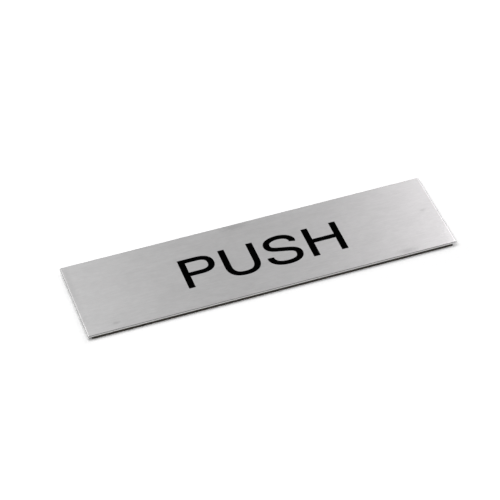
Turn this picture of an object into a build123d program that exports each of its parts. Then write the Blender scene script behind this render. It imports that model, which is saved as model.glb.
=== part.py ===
from build123d import *

import os

# Self-adhesive door push plate, in millimetres.
# It lies face up, as it does on a table: X runs along the plate, Y across it towards its
# upper edge, and Z out of the finished face. The origin is under the plate's middle, in
# the plane of the door that the tape sticks to.

# Sheet steel plate
plate_length = 170.0
plate_width = 50.0
plate_thickness = 0.8
end_ease_length = 0.8  # the brushing belt wears the face away towards each short end,
end_ease_drop = 0.5  # in an elliptical roll-off this long and this deep
long_edge_round = 0.3  # the long edges and the corners, rounded over
back_break = 0.1  # the burr side, broken so that it doesn't cut

# Foam mounting tape
tape_width = 12.0
tape_thickness = 1.4
tape_end_margin = 2.0  # from the plate's short edges
tape_edge_margin = 0.4  # from the plate's long edges

# Places that follow from the sizes
plate_underside = tape_thickness  # the plate lies on the tape, face to face
face_height = plate_underside + plate_thickness
end_wall_height = face_height - end_ease_drop
half_length = plate_length / 2
tape_length = plate_length - 2 * tape_end_margin
tape_offset = plate_width / 2 - tape_edge_margin - tape_width / 2

os.makedirs("parts", exist_ok=True)

# Face plate: its section along the length, with the worn ends, carried across the width
with BuildPart() as face_plate:
    with BuildSketch(Plane.XZ.offset(plate_width / 2)):
        with BuildLine():
            underside = Line((-half_length, plate_underside), (half_length, plate_underside))
            Line(underside @ 1, (half_length, end_wall_height))
            right_centre = (half_length - end_ease_length, end_wall_height)
            right_end = EllipticalCenterArc(
                right_centre, end_ease_length, end_ease_drop, start_angle=0, arc_size=90
            )
            left_centre = (-half_length + end_ease_length, end_wall_height)
            left_end = EllipticalCenterArc(
                left_centre, end_ease_length, end_ease_drop, start_angle=90, arc_size=90
            )
            Line(right_end @ 1, left_end @ 0)
            Line(left_end @ 1, underside @ 0)
        make_face()
    extrude(amount=-plate_width)
    long_sides = face_plate.faces().sort_by(Axis.Y)
    lower_outline = long_sides[0].edges().sort_by(Axis.Z)[1:]
    upper_outline = long_sides[-1].edges().sort_by(Axis.Z)[1:]
    fillet(lower_outline + upper_outline, radius=long_edge_round)
    back_rim = face_plate.faces().sort_by(Axis.Z)[0].edges()
    chamfer(back_rim, length=back_break)
face_plate.part.label = "face_plate"
export_step(face_plate.part, "parts/face_plate.step")

# Foam tape: one strip along each long edge, cut square at its ends
for strip_name, strip_y in (("upper_tape", tape_offset), ("lower_tape", -tape_offset)):
    with BuildPart() as strip:
        with BuildSketch():
            with Locations((0, strip_y)):
                Rectangle(tape_length, tape_width)
        extrude(amount=tape_thickness)
    strip.part.label = strip_name
    export_step(strip.part, f"parts/{strip_name}.step")
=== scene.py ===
# %% [markdown]
# This lesson dresses a small door push plate: a strip of brushed stainless sheet, 170 mm long,
# that sticks to a door on two strips of black foam tape and says PUSH in plain black capitals.
# The sheet and the tape arrive as solids of the right size. What is left to make here is the
# black word, the brushed finish, the foam, and a white table with soft light to see them in.
# The frame comes first, because every later size is read from it.

# %% Load the frame
import math

import bmesh
import bpy
from mathutils import Matrix, Vector


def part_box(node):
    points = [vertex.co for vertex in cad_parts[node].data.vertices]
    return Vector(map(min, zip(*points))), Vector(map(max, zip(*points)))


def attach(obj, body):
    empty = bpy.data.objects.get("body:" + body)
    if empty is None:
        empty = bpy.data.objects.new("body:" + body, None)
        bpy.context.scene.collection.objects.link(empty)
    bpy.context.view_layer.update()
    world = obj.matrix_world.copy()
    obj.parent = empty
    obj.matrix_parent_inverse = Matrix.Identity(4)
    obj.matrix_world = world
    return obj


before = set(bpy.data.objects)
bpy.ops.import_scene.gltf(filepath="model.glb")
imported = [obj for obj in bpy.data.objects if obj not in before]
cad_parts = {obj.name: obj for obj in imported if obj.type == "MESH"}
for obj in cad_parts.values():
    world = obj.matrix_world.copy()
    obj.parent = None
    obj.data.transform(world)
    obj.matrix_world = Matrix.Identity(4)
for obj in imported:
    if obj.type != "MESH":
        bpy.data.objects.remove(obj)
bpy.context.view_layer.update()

MM = 0.001
plate_low, plate_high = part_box("face_plate")
print("solids:", sorted(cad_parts))
print("plate, mm:", [round(side / MM, 2) for side in plate_high - plate_low])

# %% [markdown]
# The camera is set before anything is made, so that each new piece can be judged in the
# picture's own view. The picture was taken with a long lens from in front, a little to the left
# and about 39 degrees up, and the camera was held five degrees off level. A long lens
# keeps the plate's long edges almost parallel. A track quaternion would aim a level camera, and
# one more turn about the viewing axis adds the tilt of the hand that held it.

# %% Camera
view_azimuth = math.radians(-13.898)
view_elevation = math.radians(39.075)
view_roll = math.radians(-5.481)
view_distance = 1.2121
view_target = Vector((-1.54 * MM, 6.98 * MM, 0.2 * MM))
lens_mm = 195.48

toward_camera = Vector((
    math.sin(view_azimuth) * math.cos(view_elevation),
    -math.cos(view_azimuth) * math.cos(view_elevation),
    math.sin(view_elevation),
))
camera_data = bpy.data.cameras.new("photo_camera")
camera_data.lens = lens_mm
camera_data.sensor_width = 36
camera_data.clip_start = 0.01
camera = bpy.data.objects.new("photo_camera", camera_data)
bpy.context.scene.collection.objects.link(camera)
aim = (-toward_camera).to_track_quat("-Z", "Y").to_matrix().to_4x4()
stand = Matrix.Translation(view_target + toward_camera * view_distance)
camera.matrix_world = stand @ aim @ Matrix.Rotation(view_roll, 4, "Z")
bpy.context.scene.camera = camera
bpy.context.scene.view_settings.view_transform = "Standard"
print("camera at, m:", [round(value, 3) for value in camera.location])

# %% [markdown]
# A material is a small graph of nodes. Two helpers keep the graphs short: one adds a node with
# its settings, and one starts a material from its main shader. Every pattern is laid out in the
# piece's own coordinates, so that it stays on the piece in every view.

# %% Nodes and materials
def add_node(tree, kind, inputs=None, **settings):
    node = tree.nodes.new(kind)
    for name, value in settings.items():
        setattr(node, name, value)
    for name, value in (inputs or {}).items():
        node.inputs[name].default_value = value
    return node


def object_place(tree):
    return add_node(tree, "ShaderNodeTexCoord").outputs["Object"]


def new_material(name, **shader_inputs):
    material = bpy.data.materials.new(name)
    material.use_nodes = True
    shader = material.node_tree.nodes["Principled BSDF"]
    for socket, value in shader_inputs.items():
        shader.inputs[socket.replace("_", " ")].default_value = value
    print("material:", name, shader_inputs)
    return material, material.node_tree, shader


# %% [markdown]
# Values meet in three ways: a sum or a product, a range spread over a new range, and a blend of
# two values by a mask. A value that is a plain number is set on the node's own socket, and any
# other value is linked to it.

# %% Sums, ranges and blends
def feed(tree, socket, value):
    if isinstance(value, float):
        socket.default_value = value
    else:
        tree.links.new(value, socket)


def combine(tree, operation, *values):
    node = add_node(tree, "ShaderNodeMath", operation=operation)
    for socket, value in zip(node.inputs, values):
        feed(tree, socket, value)
    return node.outputs["Value"]


def remap(tree, value, low, high, new_low, new_high):
    node = add_node(tree, "ShaderNodeMapRange", {
        "From Min": low, "From Max": high, "To Min": new_low, "To Max": new_high,
    })
    tree.links.new(value, node.inputs["Value"])
    return node.outputs["Result"]


def blend(tree, mask, first, second):
    node = add_node(tree, "ShaderNodeMix")
    feed(tree, node.inputs["Factor"], mask)
    feed(tree, node.inputs["A"], first)
    feed(tree, node.inputs["B"], second)
    return node.outputs["Result"]


def blend_colours(tree, mask, first, second):
    node = add_node(tree, "ShaderNodeMix", data_type="RGBA")
    feed(tree, node.inputs["Factor"], mask)
    colours = [socket for socket in node.inputs if socket.type == "RGBA"]
    colours[0].default_value = first
    colours[1].default_value = second
    return next(socket for socket in node.outputs if socket.type == "RGBA")


# %% [markdown]
# Brushed steel is a metal whose surface is a field of fine parallel scratches. The finest are a
# fraction of a millimetre wide and about a centimetre long. Over them lie shorter and wider
# streaks, where the belt's grit bit deeper, and a soft mottling from the rolled sheet under it.
# A picture of scratches would repeat, and it would blur close up. So three noise patterns, each
# squeezed across the plate by its own amount, are multiplied into the tone. Noise stays mostly
# between 0.3 and 0.7, and that range is spread over the swing wanted. The finest pattern also
# drives the roughness and a very low bump. Stainless steel isn't a pure grey: its tint is a
# trace toward warm.

# %% Grain
steel_tone = 0.6
steel_tint = (1.0, 0.993, 0.996, 1)
noise_low = 0.3
noise_high = 0.7
grain_layers = (
    {"lines_per_metre": (100, 2600, 2600), "detail": 3.0, "swing": 0.04},
    {"lines_per_metre": (320, 650, 650), "detail": 2.0, "swing": 0.03},
    {"lines_per_metre": (70, 120, 120), "detail": 3.0, "swing": 0.025},
)


def stretched_noise(tree, place, lines_per_metre, detail):
    mapping = add_node(tree, "ShaderNodeMapping", {"Scale": lines_per_metre})
    noise = add_node(tree, "ShaderNodeTexNoise", {"Scale": 1.0, "Detail": detail, "Roughness": 0.6})
    tree.links.new(place, mapping.inputs["Vector"])
    tree.links.new(mapping.outputs["Vector"], noise.inputs["Vector"])
    return noise.outputs["Fac"]


def spread_noise(tree, noise, new_low, new_high):
    return remap(tree, noise, noise_low, noise_high, new_low, new_high)


def make_grain(tree, place):
    tone = steel_tone
    patterns = []
    for layer in grain_layers:
        pattern = stretched_noise(tree, place, layer["lines_per_metre"], layer["detail"])
        patterns.append(pattern)
        change = spread_noise(tree, pattern, 1.0 - layer["swing"], 1.0 + layer["swing"])
        tone = combine(tree, "MULTIPLY", change, tone)
    return patterns[0], tone


for layer in grain_layers:
    along, across, _ = layer["lines_per_metre"]
    print("grain, mm long and wide:", round(1 / along / MM, 1), round(1 / across / MM, 1))

# %% [markdown]
# The outermost 0.4 mm is another surface, smoother than the face. The belt runs along the plate, so it
# wears and polishes the two short ends. The long edges are the cut of the shears, only rounded over
# with a file. The rim's tone is painted light: the left end gets a painted highlight and the right end
# a painted shade, and along the long edges the rounding is painted dark, as a painted reflection of a
# dark room, with the cut wall below it painted lighter. How far a point lies from the middle, along
# and across, tells which rim it is on, and its height tells the rounding from the wall.

# %% Rim of the plate
rim_width = 0.4 * MM
rim_fade = 0.12 * MM
rounding_height = 0.3 * MM
height_fade = 0.05 * MM
# painted light: the left end is painted brighter and the right end darker
left_end_painted_highlight = 1.12
right_end_painted_shade = 0.8
# painted reflection: the rounding is painted dark and the cut wall below it lighter
cut_wall_painted_reflection = 0.88
rounding_painted_shade = 0.62
rim_roughness = 0.2


def make_rims(tree, place):
    split = add_node(tree, "ShaderNodeSeparateXYZ")
    tree.links.new(place, split.inputs["Vector"])
    half = (plate_high - plate_low) / 2
    masks = []
    for axis, reach in (("X", half.x), ("Y", half.y)):
        distance = combine(tree, "ABSOLUTE", split.outputs[axis])
        rim_start = reach - rim_width
        masks.append(remap(tree, distance, rim_start, rim_start + rim_fade, 0.0, 1.0))
    # painted highlight at the left end, painted shade at the right end
    painted_end_light = remap(tree, split.outputs["X"], -half.x, half.x, left_end_painted_highlight, right_end_painted_shade)
    # painted reflection of a dark room: a dark rounding and a lighter cut wall
    foot = plate_high.z - rounding_height
    painted_edge_reflection = remap(tree, split.outputs["Z"], foot - height_fade, foot + height_fade,
                      cut_wall_painted_reflection, rounding_painted_shade)
    return masks, (painted_end_light, painted_edge_reflection)


print("rim, mm wide:", round(rim_width / MM, 2), "rounding, mm high:", round(rounding_height / MM, 2))

# %% [markdown]
# A few faint marks show that the plate has been handled: a dark spot near the lower left corner, a
# short streak near the right end and soft smudges at two edges. Two more are painted light: a painted
# shade along the left end, and a painted highlight on the near right corner, so its darkening is
# negative. Each is an ellipse given in millimetres by its middle, from the plate's centre, and its
# half sizes. It is strongest in the middle and fades out, and its height is so large that the sheet's
# own height makes no difference. Noise bends its outline, so that no mark is a neat ellipse.

# %% Marks of handling and painted light
marks = {
    "spot": {"middle": (-70.8, -20.6), "reach": (2.2, 1.1), "darkening": 0.15},
    "streak": {"middle": (78.6, 1.8), "reach": (2.2, 1.1), "darkening": 0.17},
    "upper_smudge": {"middle": (-4.5, 23.0), "reach": (8.0, 2.6), "darkening": 0.14},
    "lower_smudge": {"middle": (62.5, -22.8), "reach": (6.0, 2.4), "darkening": 0.14},
    # painted shade: a darker band along the left end
    "painted_left_end_shade": {"middle": (-83.4, 10.0), "reach": (2.4, 32.0), "darkening": 0.07},
    # painted highlight: the near right corner is brightened
    "painted_corner_highlight": {"middle": (86.0, -26.0), "reach": (7.0, 22.0), "darkening": -0.15},
}
mark_core = 0.2
outline_bend = 0.3
bends_per_metre = 900
any_height = 1000


def make_marks_and_painted_light(tree, place):
    waver = stretched_noise(tree, place, (bends_per_metre,) * 3, 2.0)
    bend = spread_noise(tree, waver, -outline_bend, outline_bend)
    dirt_and_painted_light = 1.0
    for mark in marks.values():
        fit = add_node(tree, "ShaderNodeMapping", {
            "Location": Vector((*mark["middle"], 0)) * MM,
            "Scale": Vector((*mark["reach"], any_height)) * MM,
        }, vector_type="TEXTURE")
        away = add_node(tree, "ShaderNodeVectorMath", operation="LENGTH")
        tree.links.new(place, fit.inputs["Vector"])
        tree.links.new(fit.outputs["Vector"], away.inputs[0])
        distance = combine(tree, "ADD", away.outputs["Value"], bend)
        mark_tone = remap(tree, distance, mark_core, 1.0, 1.0 - mark["darkening"], 1.0)
        dirt_and_painted_light = combine(tree, "MULTIPLY", mark_tone, dirt_and_painted_light)
    return dirt_and_painted_light


print("marks:", sorted(marks))

# %% [markdown]
# All of it meets in one material. The shader's own anisotropy spreads the shine across the
# grain, as real scratches do. Its tangent circles the X axis, so on the flat face it points
# across the plate.

# %% Brushed steel
unlit = (0, 0, 0, 1)
fine_roughness = 0.38
coarse_roughness = 0.46
scratch_depth = 0.01 * MM


def make_brushed_steel():
    material, tree, shader = new_material("brushed_steel", Metallic=1.0, Anisotropic=0.6)
    place = object_place(tree)
    scratches, tone = make_grain(tree, place)
    tone = combine(tree, "MULTIPLY", tone, make_marks_and_painted_light(tree, place))
    rims, painted_rim_light = make_rims(tree, place)
    # each rim's tone is painted light, multiplied into the steel's tone
    for rim, painted_rim_tone in zip(rims, painted_rim_light):
        tone = combine(tree, "MULTIPLY", tone, blend(tree, rim, 1.0, painted_rim_tone))
    tree.links.new(blend_colours(tree, tone, unlit, steel_tint), shader.inputs["Base Color"])
    face_roughness = spread_noise(tree, scratches, fine_roughness, coarse_roughness)
    roughness = blend(tree, combine(tree, "MAXIMUM", *rims), face_roughness, rim_roughness)
    tree.links.new(roughness, shader.inputs["Roughness"])
    bump = add_node(tree, "ShaderNodeBump", {"Strength": 0.25, "Distance": scratch_depth})
    tree.links.new(scratches, bump.inputs["Height"])
    tree.links.new(bump.outputs["Normal"], shader.inputs["Normal"])
    tangent = add_node(tree, "ShaderNodeTangent", direction_type="RADIAL", axis="X")
    tree.links.new(tangent.outputs["Tangent"], shader.inputs["Tangent"])
    return material


def dress(node_name, material):
    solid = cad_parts[node_name]
    solid.data.materials.clear()
    solid.data.materials.append(material)
    print(node_name, "wears", material.name)


dress("face_plate", make_brushed_steel())

# %% [markdown]
# Foam mounting tape is closed-cell foam, quite matt and nearly black, with a trace of brown. Its
# cut edges show the cells as tiny pits, which are far too many to model. So a cell pattern
# drives a little bump and a little change of tone.

# %% Foam tape
cells_per_metre = 5000.0
cell_reach = 0.8
pit_depth = 0.05 * MM
foam_in_pits = (0.070, 0.061, 0.050, 1)
foam_on_walls = (0.122, 0.108, 0.090, 1)


def make_foam():
    material, tree, shader = new_material("black_foam", Roughness=0.95, Specular_IOR_Level=0.2)
    cells = add_node(tree, "ShaderNodeTexVoronoi", {"Scale": cells_per_metre})
    tree.links.new(object_place(tree), cells.inputs["Vector"])
    from_middle = cells.outputs["Distance"]
    wall = remap(tree, from_middle, 0.0, cell_reach, 0.0, 1.0)
    tree.links.new(blend_colours(tree, wall, foam_in_pits, foam_on_walls), shader.inputs["Base Color"])
    bump = add_node(tree, "ShaderNodeBump", {"Strength": 0.5, "Distance": pit_depth})
    tree.links.new(from_middle, bump.inputs["Height"])
    tree.links.new(bump.outputs["Normal"], shader.inputs["Normal"])
    return material


black_foam = make_foam()
for strip in ("upper_tape", "lower_tape"):
    dress(strip, black_foam)

# %% [markdown]
# The letters start as curves and end as plain meshes. Three helpers see to that. One replaces a
# piece by the mesh that its modifiers make of it. One joins points that lie on top of each
# other, and turns the faces outward where that is asked. One measures a piece in millimetres.

# %% Plain meshes
def replace_by_mesh(piece, name):
    bpy.context.view_layer.update()
    depsgraph = bpy.context.evaluated_depsgraph_get()
    mesh = bpy.data.meshes.new_from_object(piece.evaluated_get(depsgraph))
    bpy.data.objects.remove(piece)
    made = bpy.data.objects.new(name, mesh)
    bpy.context.scene.collection.objects.link(made)
    return made


def merge_doubles(mesh, distance, outward=False):
    skin = bmesh.new()
    skin.from_mesh(mesh)
    bmesh.ops.remove_doubles(skin, verts=skin.verts, dist=distance)
    if outward:
        bmesh.ops.recalc_face_normals(skin, faces=skin.faces)
    skin.to_mesh(mesh)
    skin.free()


def size_mm(piece):
    spots = (vertex.co for vertex in piece.data.vertices)
    return [round((max(values) - min(values)) / MM, 2) for values in zip(*spots)]


print("face_plate by its mesh, mm:", size_mm(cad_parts["face_plate"]))

# %% [markdown]
# The word is four plain sans capitals. Their upright strokes are a little heavier than the level
# ones, which is what a flat nib does: drawn narrow with a round pen and then widened, every
# letter gets that contrast by itself. So each stroke is a flat curve, which Extrude makes a
# ribbon standing on its edge, and a Solidify modifier gives the ribbon the pen's width with
# square ends. A font would be quicker, but it wouldn't give these proportions.

# %% The pen and one stroke
pen_level = 2.74
pen_upright = 3.0
pen_widening = pen_upright / pen_level
bend_steps = 20
ink_below_face = 0.05 * MM
ink_above_face = 0.02 * MM
ribbon_weld = 0.001 * MM


def draw_line(knots):
    curve = bpy.data.curves.new("stroke", "CURVE")
    curve.dimensions = "2D"
    curve.resolution_u = bend_steps
    curve.extrude = (ink_above_face + ink_below_face) / 2
    spline = curve.splines.new("BEZIER")
    spline.bezier_points.add(len(knots) - 1)
    narrow = Vector((MM / pen_widening, MM))
    for point, (spot, before, after) in zip(spline.bezier_points, knots):
        point.handle_left_type = point.handle_right_type = "FREE"
        here, back, ahead = (Vector(part) * narrow for part in (spot, before, after))
        point.co = here.to_3d()
        point.handle_left = (here + back).to_3d()
        point.handle_right = (here + ahead).to_3d()
    return curve


def stroke(knots):
    line = bpy.data.objects.new("stroke", draw_line(knots))
    bpy.context.scene.collection.objects.link(line)
    ribbon = replace_by_mesh(line, "stroke")
    merge_doubles(ribbon.data, ribbon_weld)
    width = ribbon.modifiers.new("pen", "SOLIDIFY")
    width.thickness = pen_level * MM
    width.offset = 0.0
    width.use_even_offset = True
    return replace_by_mesh(ribbon, "stroke")


print("pen, mm: upright strokes", pen_upright, "level strokes", pen_level)

# %% [markdown]
# Straight strokes need two knots. A bend needs one knot at each end and one at its crown, with
# handles about two thirds of the reach, a little fuller than a true ellipse, as in most plain
# sans capitals. A knot is its place and its two handles, in millimetres from the letter's lower
# left corner. Strokes that cross, such as the bowl and the stem of the P, are joined by a
# Boolean modifier, so that each letter is one closed skin.

# %% Knots and joins
cap_height = 20.17
overshoot = 0.4
fullness = 0.67
half_upright = pen_upright / 2
half_level = pen_level / 2


def straight(start, end):
    lean = (Vector(end) - Vector(start)) / 3
    return [(start, -lean, lean), (end, -lean, lean)]


def join_strokes(strokes, name):
    body = strokes[0]
    for other in strokes[1:]:
        union = body.modifiers.new("join", "BOOLEAN")
        union.operation = "UNION"
        union.solver = "EXACT"
        union.object = other
    made = replace_by_mesh(body, name)
    for other in strokes[1:]:
        bpy.data.objects.remove(other)
    return made


print("capitals, mm high:", cap_height)

# %% [markdown]
# The P is a stem and a bowl. The U is one bent line, and its round foot hangs below the base
# line by a small overshoot, because a round stroke that only touched the line would look too
# short. Every letter is still narrow here, and stands in its own corner.

# %% P and U
def letter_p(width=15.6, lower_bar=9.32, bend_from=8.28):
    top = cap_height - half_level
    right = width - half_upright
    crown = (top + lower_bar) / 2
    reach = (right - bend_from) * fullness
    drop = (top - crown) * fullness
    bowl = [
        ((half_upright, top), (-1, 0), (1, 0)),
        ((bend_from, top), (-1, 0), (reach, 0)),
        ((right, crown), (0, drop), (0, -drop)),
        ((bend_from, lower_bar), (reach, 0), (-1, 0)),
        ((half_upright, lower_bar), (1, 0), (-1, 0)),
    ]
    stem = straight((half_upright, 0), (half_upright, cap_height))
    return join_strokes([stroke(stem), stroke(bowl)], "letter_P")


def letter_u(width=16.1, bend_from=7.77):
    right = width - half_upright
    bottom = half_level - overshoot
    middle = width / 2
    reach = (right - middle) * fullness
    drop = (bend_from - bottom) * fullness
    path = [
        ((half_upright, cap_height), (0, 1), (0, -1)),
        ((half_upright, bend_from), (0, 1), (0, -drop)),
        ((middle, bottom), (-reach, 0), (reach, 0)),
        ((right, bend_from), (0, -drop), (0, 1)),
        ((right, cap_height), (0, -1), (0, 1)),
    ]
    return join_strokes([stroke(path)], "letter_U")


letters = [letter_p(), letter_u()]
for letter in letters:
    print(letter.name, "still narrow, mm:", size_mm(letter))

# %% [markdown]
# The S has no straight stroke. Its seven knots are listed one by one: the two ends, the two crowns,
# the outermost point of each bowl, and the middle of the spine. It sits a tenth of a millimetre lower
# than the U.

# %% S
def letter_s(lowering=0.1):
    top = cap_height + overshoot - half_level - lowering
    bottom = half_level - overshoot - lowering
    path = [
        ((13.6, 14.2), (-0.95, -2.1), (0.95, 2.1)),
        ((8.05, top), (4.0, 0), (-3.75, 0)),
        ((1.83, 15.0), (0, 2.4), (0, -3.35)),
        ((7.65, 10.4), (-3.2, 0.9), (3.2, -0.9)),
        ((14.55, 5.75), (0, 3.25), (0, -3.6)),
        ((8.05, bottom), (3.65, 0), (-4.6, 0)),
        ((1.2, 6.45), (-0.3, -3.1), (0.3, 3.1)),
    ]
    return join_strokes([stroke(path)], "letter_S")


letters.append(letter_s())
print(letters[-1].name, "still narrow, mm:", size_mm(letters[-1]))

# %% [markdown]
# The H is two stems and a bar. The bar lies a little above the middle, because a bar at half
# height looks too low.

# %% H
def letter_h(width=16.1, bar=10.62):
    right = width - half_upright
    lines = [
        straight((half_upright, 0), (half_upright, cap_height)),
        straight((right, 0), (right, cap_height)),
        straight((half_upright, bar), (right, bar)),
    ]
    return join_strokes([stroke(line) for line in lines], "letter_H")


letters.append(letter_h())
print(letters[-1].name, "still narrow, mm:", size_mm(letters[-1]))

# %% [markdown]
# The letters are filled with black paint, which is so matt that it mirrors nothing of the room.
# A trace of noise keeps the black from being one flat value.

# %% Black paint
flecks_per_metre = 900


def make_black_paint(darkest=0.0006, lightest=0.0016):
    material, tree, shader = new_material("black_paint", Roughness=0.6, Specular_IOR_Level=0.0)
    flecks = stretched_noise(tree, object_place(tree), (flecks_per_metre,) * 3, 3.0)
    tree.links.new(spread_noise(tree, flecks, darkest, lightest), shader.inputs["Base Color"])
    return material


black_paint = make_black_paint()

# %% [markdown]
# The letters are set on one base line. The word isn't centred: it starts 50 mm from the left
# edge and ends 46 mm from the right one. Each letter is widened to the pen's contrast, put in
# its place on the face by moving its mesh, and sunk a hair into the steel, as paint in a shallow
# etch is. Its object stays at the origin.

# %% Set the word
base_line = plate_high.y - 35.77 * MM
left_margins = (50.12, 68.93, 88.52, 108.02)
ink_middle = plate_high.z + (ink_above_face - ink_below_face) / 2
letter_weld = 0.0005 * MM

for letter, left_margin in zip(letters, left_margins):
    letter.data.transform(Matrix.Diagonal((pen_widening, 1, 1, 1)))
    place = Vector((plate_low.x + left_margin * MM, base_line, ink_middle))
    letter.data.transform(Matrix.Translation(place))
    merge_doubles(letter.data, letter_weld, outward=True)
    letter.data.materials.append(black_paint)
    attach(letter, "root")
    print(letter.name, len(letter.data.polygons), "faces, mm:", size_mm(letter))

# %% [markdown]
# The table has to know how far each of its points lies from the plate. For a box that takes five
# steps: go from the box's middle to the point, drop the signs, take off the box's half size, let
# what is left negative count as zero, and measure the length of the rest. A second helper tells
# which rays come from something shiny.

# %% Distances and shiny rays
def distance_from_box(tree, place, low, high):
    middle = (low + high) / 2
    steps = (
        ("SUBTRACT", middle),
        ("ABSOLUTE", None),
        ("SUBTRACT", high - middle),
        ("MAXIMUM", (0, 0, 0)),
        ("LENGTH", None),
    )
    result = place
    for operation, other in steps:
        step = add_node(tree, "ShaderNodeVectorMath", operation=operation)
        tree.links.new(result, step.inputs[0])
        if other is not None:
            step.inputs[1].default_value = other
        result = step.outputs["Value" if operation == "LENGTH" else "Vector"]
    return result


def shiny_rays(tree, path):
    return combine(tree, "MAXIMUM", path["Is Glossy Ray"], path["Is Transmission Ray"])


# %% [markdown]
# The table is one wide white disc. Under plain lamps a white surface comes out a shade below white, so
# what the camera or a shiny surface sees of it gets a little light of its own through Light Path, and
# this glow lights nothing. Near the plate the glow paints the table's shadow: it goes by the distance
# from the plate's outline, drawn in on every side, so it is faint under the plate as painted shade,
# weak across a painted shadow beside the plate and full soon after. Each side has a margin of its own,
# because the painted shadow is made widest in front and at the left, and the whole outline is turned a
# touch, because the painted shadow narrows toward the right. Much farther out, where the near lamps no
# longer reach, the glow grows once more.

# %% Glow of the table and its painted shadow
painted_shade_depth = 3 * MM
left_shift = 0.8 * MM
front_shift = 0.4 * MM
lit_side_shift = 3 * MM
outline_turn = math.radians(-0.27)
painted_shadow_width = 1.9 * MM
far_from = 13 * MM
far_to = 83 * MM
painted_shadow_glow = 0.11
near_glow = 0.235
far_glow = 0.7


def make_table_glow(tree):
    turned = add_node(tree, "ShaderNodeMapping", {"Rotation": (0, 0, outline_turn)})
    tree.links.new(object_place(tree), turned.inputs["Vector"])
    inward = Vector((painted_shade_depth, painted_shade_depth, 0))
    low = plate_low + inward + Vector((left_shift, front_shift, 0))
    high = plate_high - inward - Vector((lit_side_shift, lit_side_shift, 0))
    distance = distance_from_box(tree, turned.outputs["Vector"], low, high)
    # painted shade under the plate and painted shadow beside it, by distance from the drawn-in outline
    strength = remap(tree, distance, 0.0, painted_shade_depth, 0.0, painted_shadow_glow)
    for start, end, gain in (
        (painted_shade_depth, painted_shade_depth + painted_shadow_width, near_glow - painted_shadow_glow),
        (far_from, far_to, far_glow - near_glow),
    ):
        strength = combine(tree, "ADD", strength, remap(tree, distance, start, end, 0.0, gain))
    path = add_node(tree, "ShaderNodeLightPath").outputs
    seen = combine(tree, "MAXIMUM", path["Is Camera Ray"], shiny_rays(tree, path))
    return combine(tree, "MULTIPLY", seen, strength)


print("table's own glow: shadow", painted_shadow_glow, "near", near_glow, "far", far_glow)

# %% [markdown]
# The disc lies at height zero, where the tape's adhesive faces are.

# %% Table
table_radius = 3.0
table_sides = 96
table_white = (0.96, 0.96, 0.96, 1)


def make_table():
    disc = bmesh.new()
    bmesh.ops.create_circle(disc, cap_ends=True, segments=table_sides, radius=table_radius)
    mesh = bpy.data.meshes.new("table")
    disc.to_mesh(mesh)
    disc.free()
    table = bpy.data.objects.new("table", mesh)
    bpy.context.scene.collection.objects.link(table)
    material, tree, shader = new_material(
        "white_table", Roughness=1.0, Specular_IOR_Level=0.0, Base_Color=table_white,
        Emission_Color=(1, 1, 1, 1),
    )
    tree.links.new(make_table_glow(tree), shader.inputs["Emission Strength"])
    mesh.materials.append(material)
    return table


print("table, mm:", size_mm(make_table()))

# %% [markdown]
# The light is a pale room. The steel mirrors it at one even level, and the ceiling gives the
# table most of its light, from straight above, so that the shadow stays close to the plate. That
# needs the world to tell the rays apart: one that comes from a shiny surface sees the room, one
# that comes from a matt surface sees the ceiling, strongest at the zenith, and one that comes
# from the camera sees plain white.

# %% World
mirrored_room = 0.6
ceiling_light = 2.75
ceiling_focus = 12.0


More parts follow.
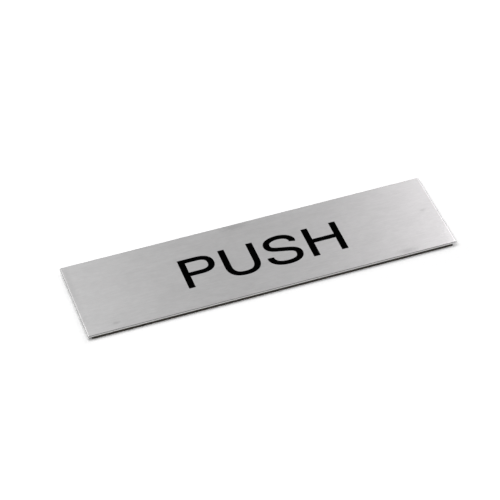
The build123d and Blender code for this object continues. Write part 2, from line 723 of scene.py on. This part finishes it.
def make_world():
    world = bpy.data.worlds.new("pale_room")
    bpy.context.scene.world = world
    world.use_nodes = True
    tree = world.node_tree
    direction = add_node(tree, "ShaderNodeTexCoord").outputs["Generated"]
    split = add_node(tree, "ShaderNodeSeparateXYZ")
    tree.links.new(direction, split.inputs["Vector"])
    upward = combine(tree, "MAXIMUM", split.outputs["Z"], 0.0)
    ceiling = combine(tree, "MULTIPLY", combine(tree, "POWER", upward, ceiling_focus), ceiling_light)
    path = add_node(tree, "ShaderNodeLightPath").outputs
    falling = combine(tree, "MULTIPLY", path["Is Diffuse Ray"], ceiling)
    mirrored = combine(tree, "MULTIPLY", shiny_rays(tree, path), mirrored_room)
    seen = combine(tree, "ADD", path["Is Camera Ray"], mirrored)
    sky = tree.nodes["Background"]
    tree.links.new(combine(tree, "ADD", seen, falling), sky.inputs["Strength"])
    sky.inputs["Color"].default_value = (1, 1, 1, 1)
    return world


print("world:", make_world().name, "nodes:", len(bpy.context.scene.world.node_tree.nodes))

# %% [markdown]
# Four soft lamps do the rest, all of them behind the plate. The two large ones stand far to the
# left and to the right, and each draws the bright line on the worn end that faces it. The two
# small ones stand where a plate seen from the front mirrors them. They are near, so their shine
# changes along the plate: strong at the right end, faint at the left one, and least in between.
# The small one at the right is faintly pink, because the plate takes on a trace of that colour
# toward its right end.

# %% Lamps
white = (1.0, 1.0, 1.0)
faint_pink = (1.0, 0.955, 0.98)
soft_lamps = {
    "left_lamp": {
        "azimuth": -60, "elevation": 60, "distance": 0.6, "side": 0.3, "watts": 1.12, "colour": white,
    },
    "right_lamp": {
        "azimuth": 60, "elevation": 45, "distance": 0.8, "side": 0.4, "watts": 0.95, "colour": white,
    },
    "back_right_lamp": {
        "azimuth": 45, "elevation": 30, "distance": 0.4, "side": 0.2, "watts": 0.205,
        "colour": faint_pink,
    },
    "back_left_lamp": {
        "azimuth": -20, "elevation": 45, "distance": 0.4, "side": 0.2, "watts": 0.07, "colour": white,
    },
}


def make_soft_lamp(name, azimuth, elevation, distance, side, watts, colour):
    light = bpy.data.lights.new(name, "AREA")
    light.color = colour
    light.shape = "SQUARE"
    light.size = side
    light.energy = watts
    lamp = bpy.data.objects.new(name, light)
    bpy.context.scene.collection.objects.link(lamp)
    turn, rise = math.radians(azimuth), math.radians(elevation)
    toward_lamp = Vector((
        math.sin(turn) * math.cos(rise),
        math.cos(turn) * math.cos(rise),
        math.sin(rise),
    ))
    lamp.location = toward_lamp * distance
    lamp.rotation_euler = (-toward_lamp).to_track_quat("-Z", "Y").to_euler()
    print(name, "at, m:", [round(value, 2) for value in lamp.location])


for lamp_name, lamp_values in soft_lamps.items():
    make_soft_lamp(lamp_name, **lamp_values)
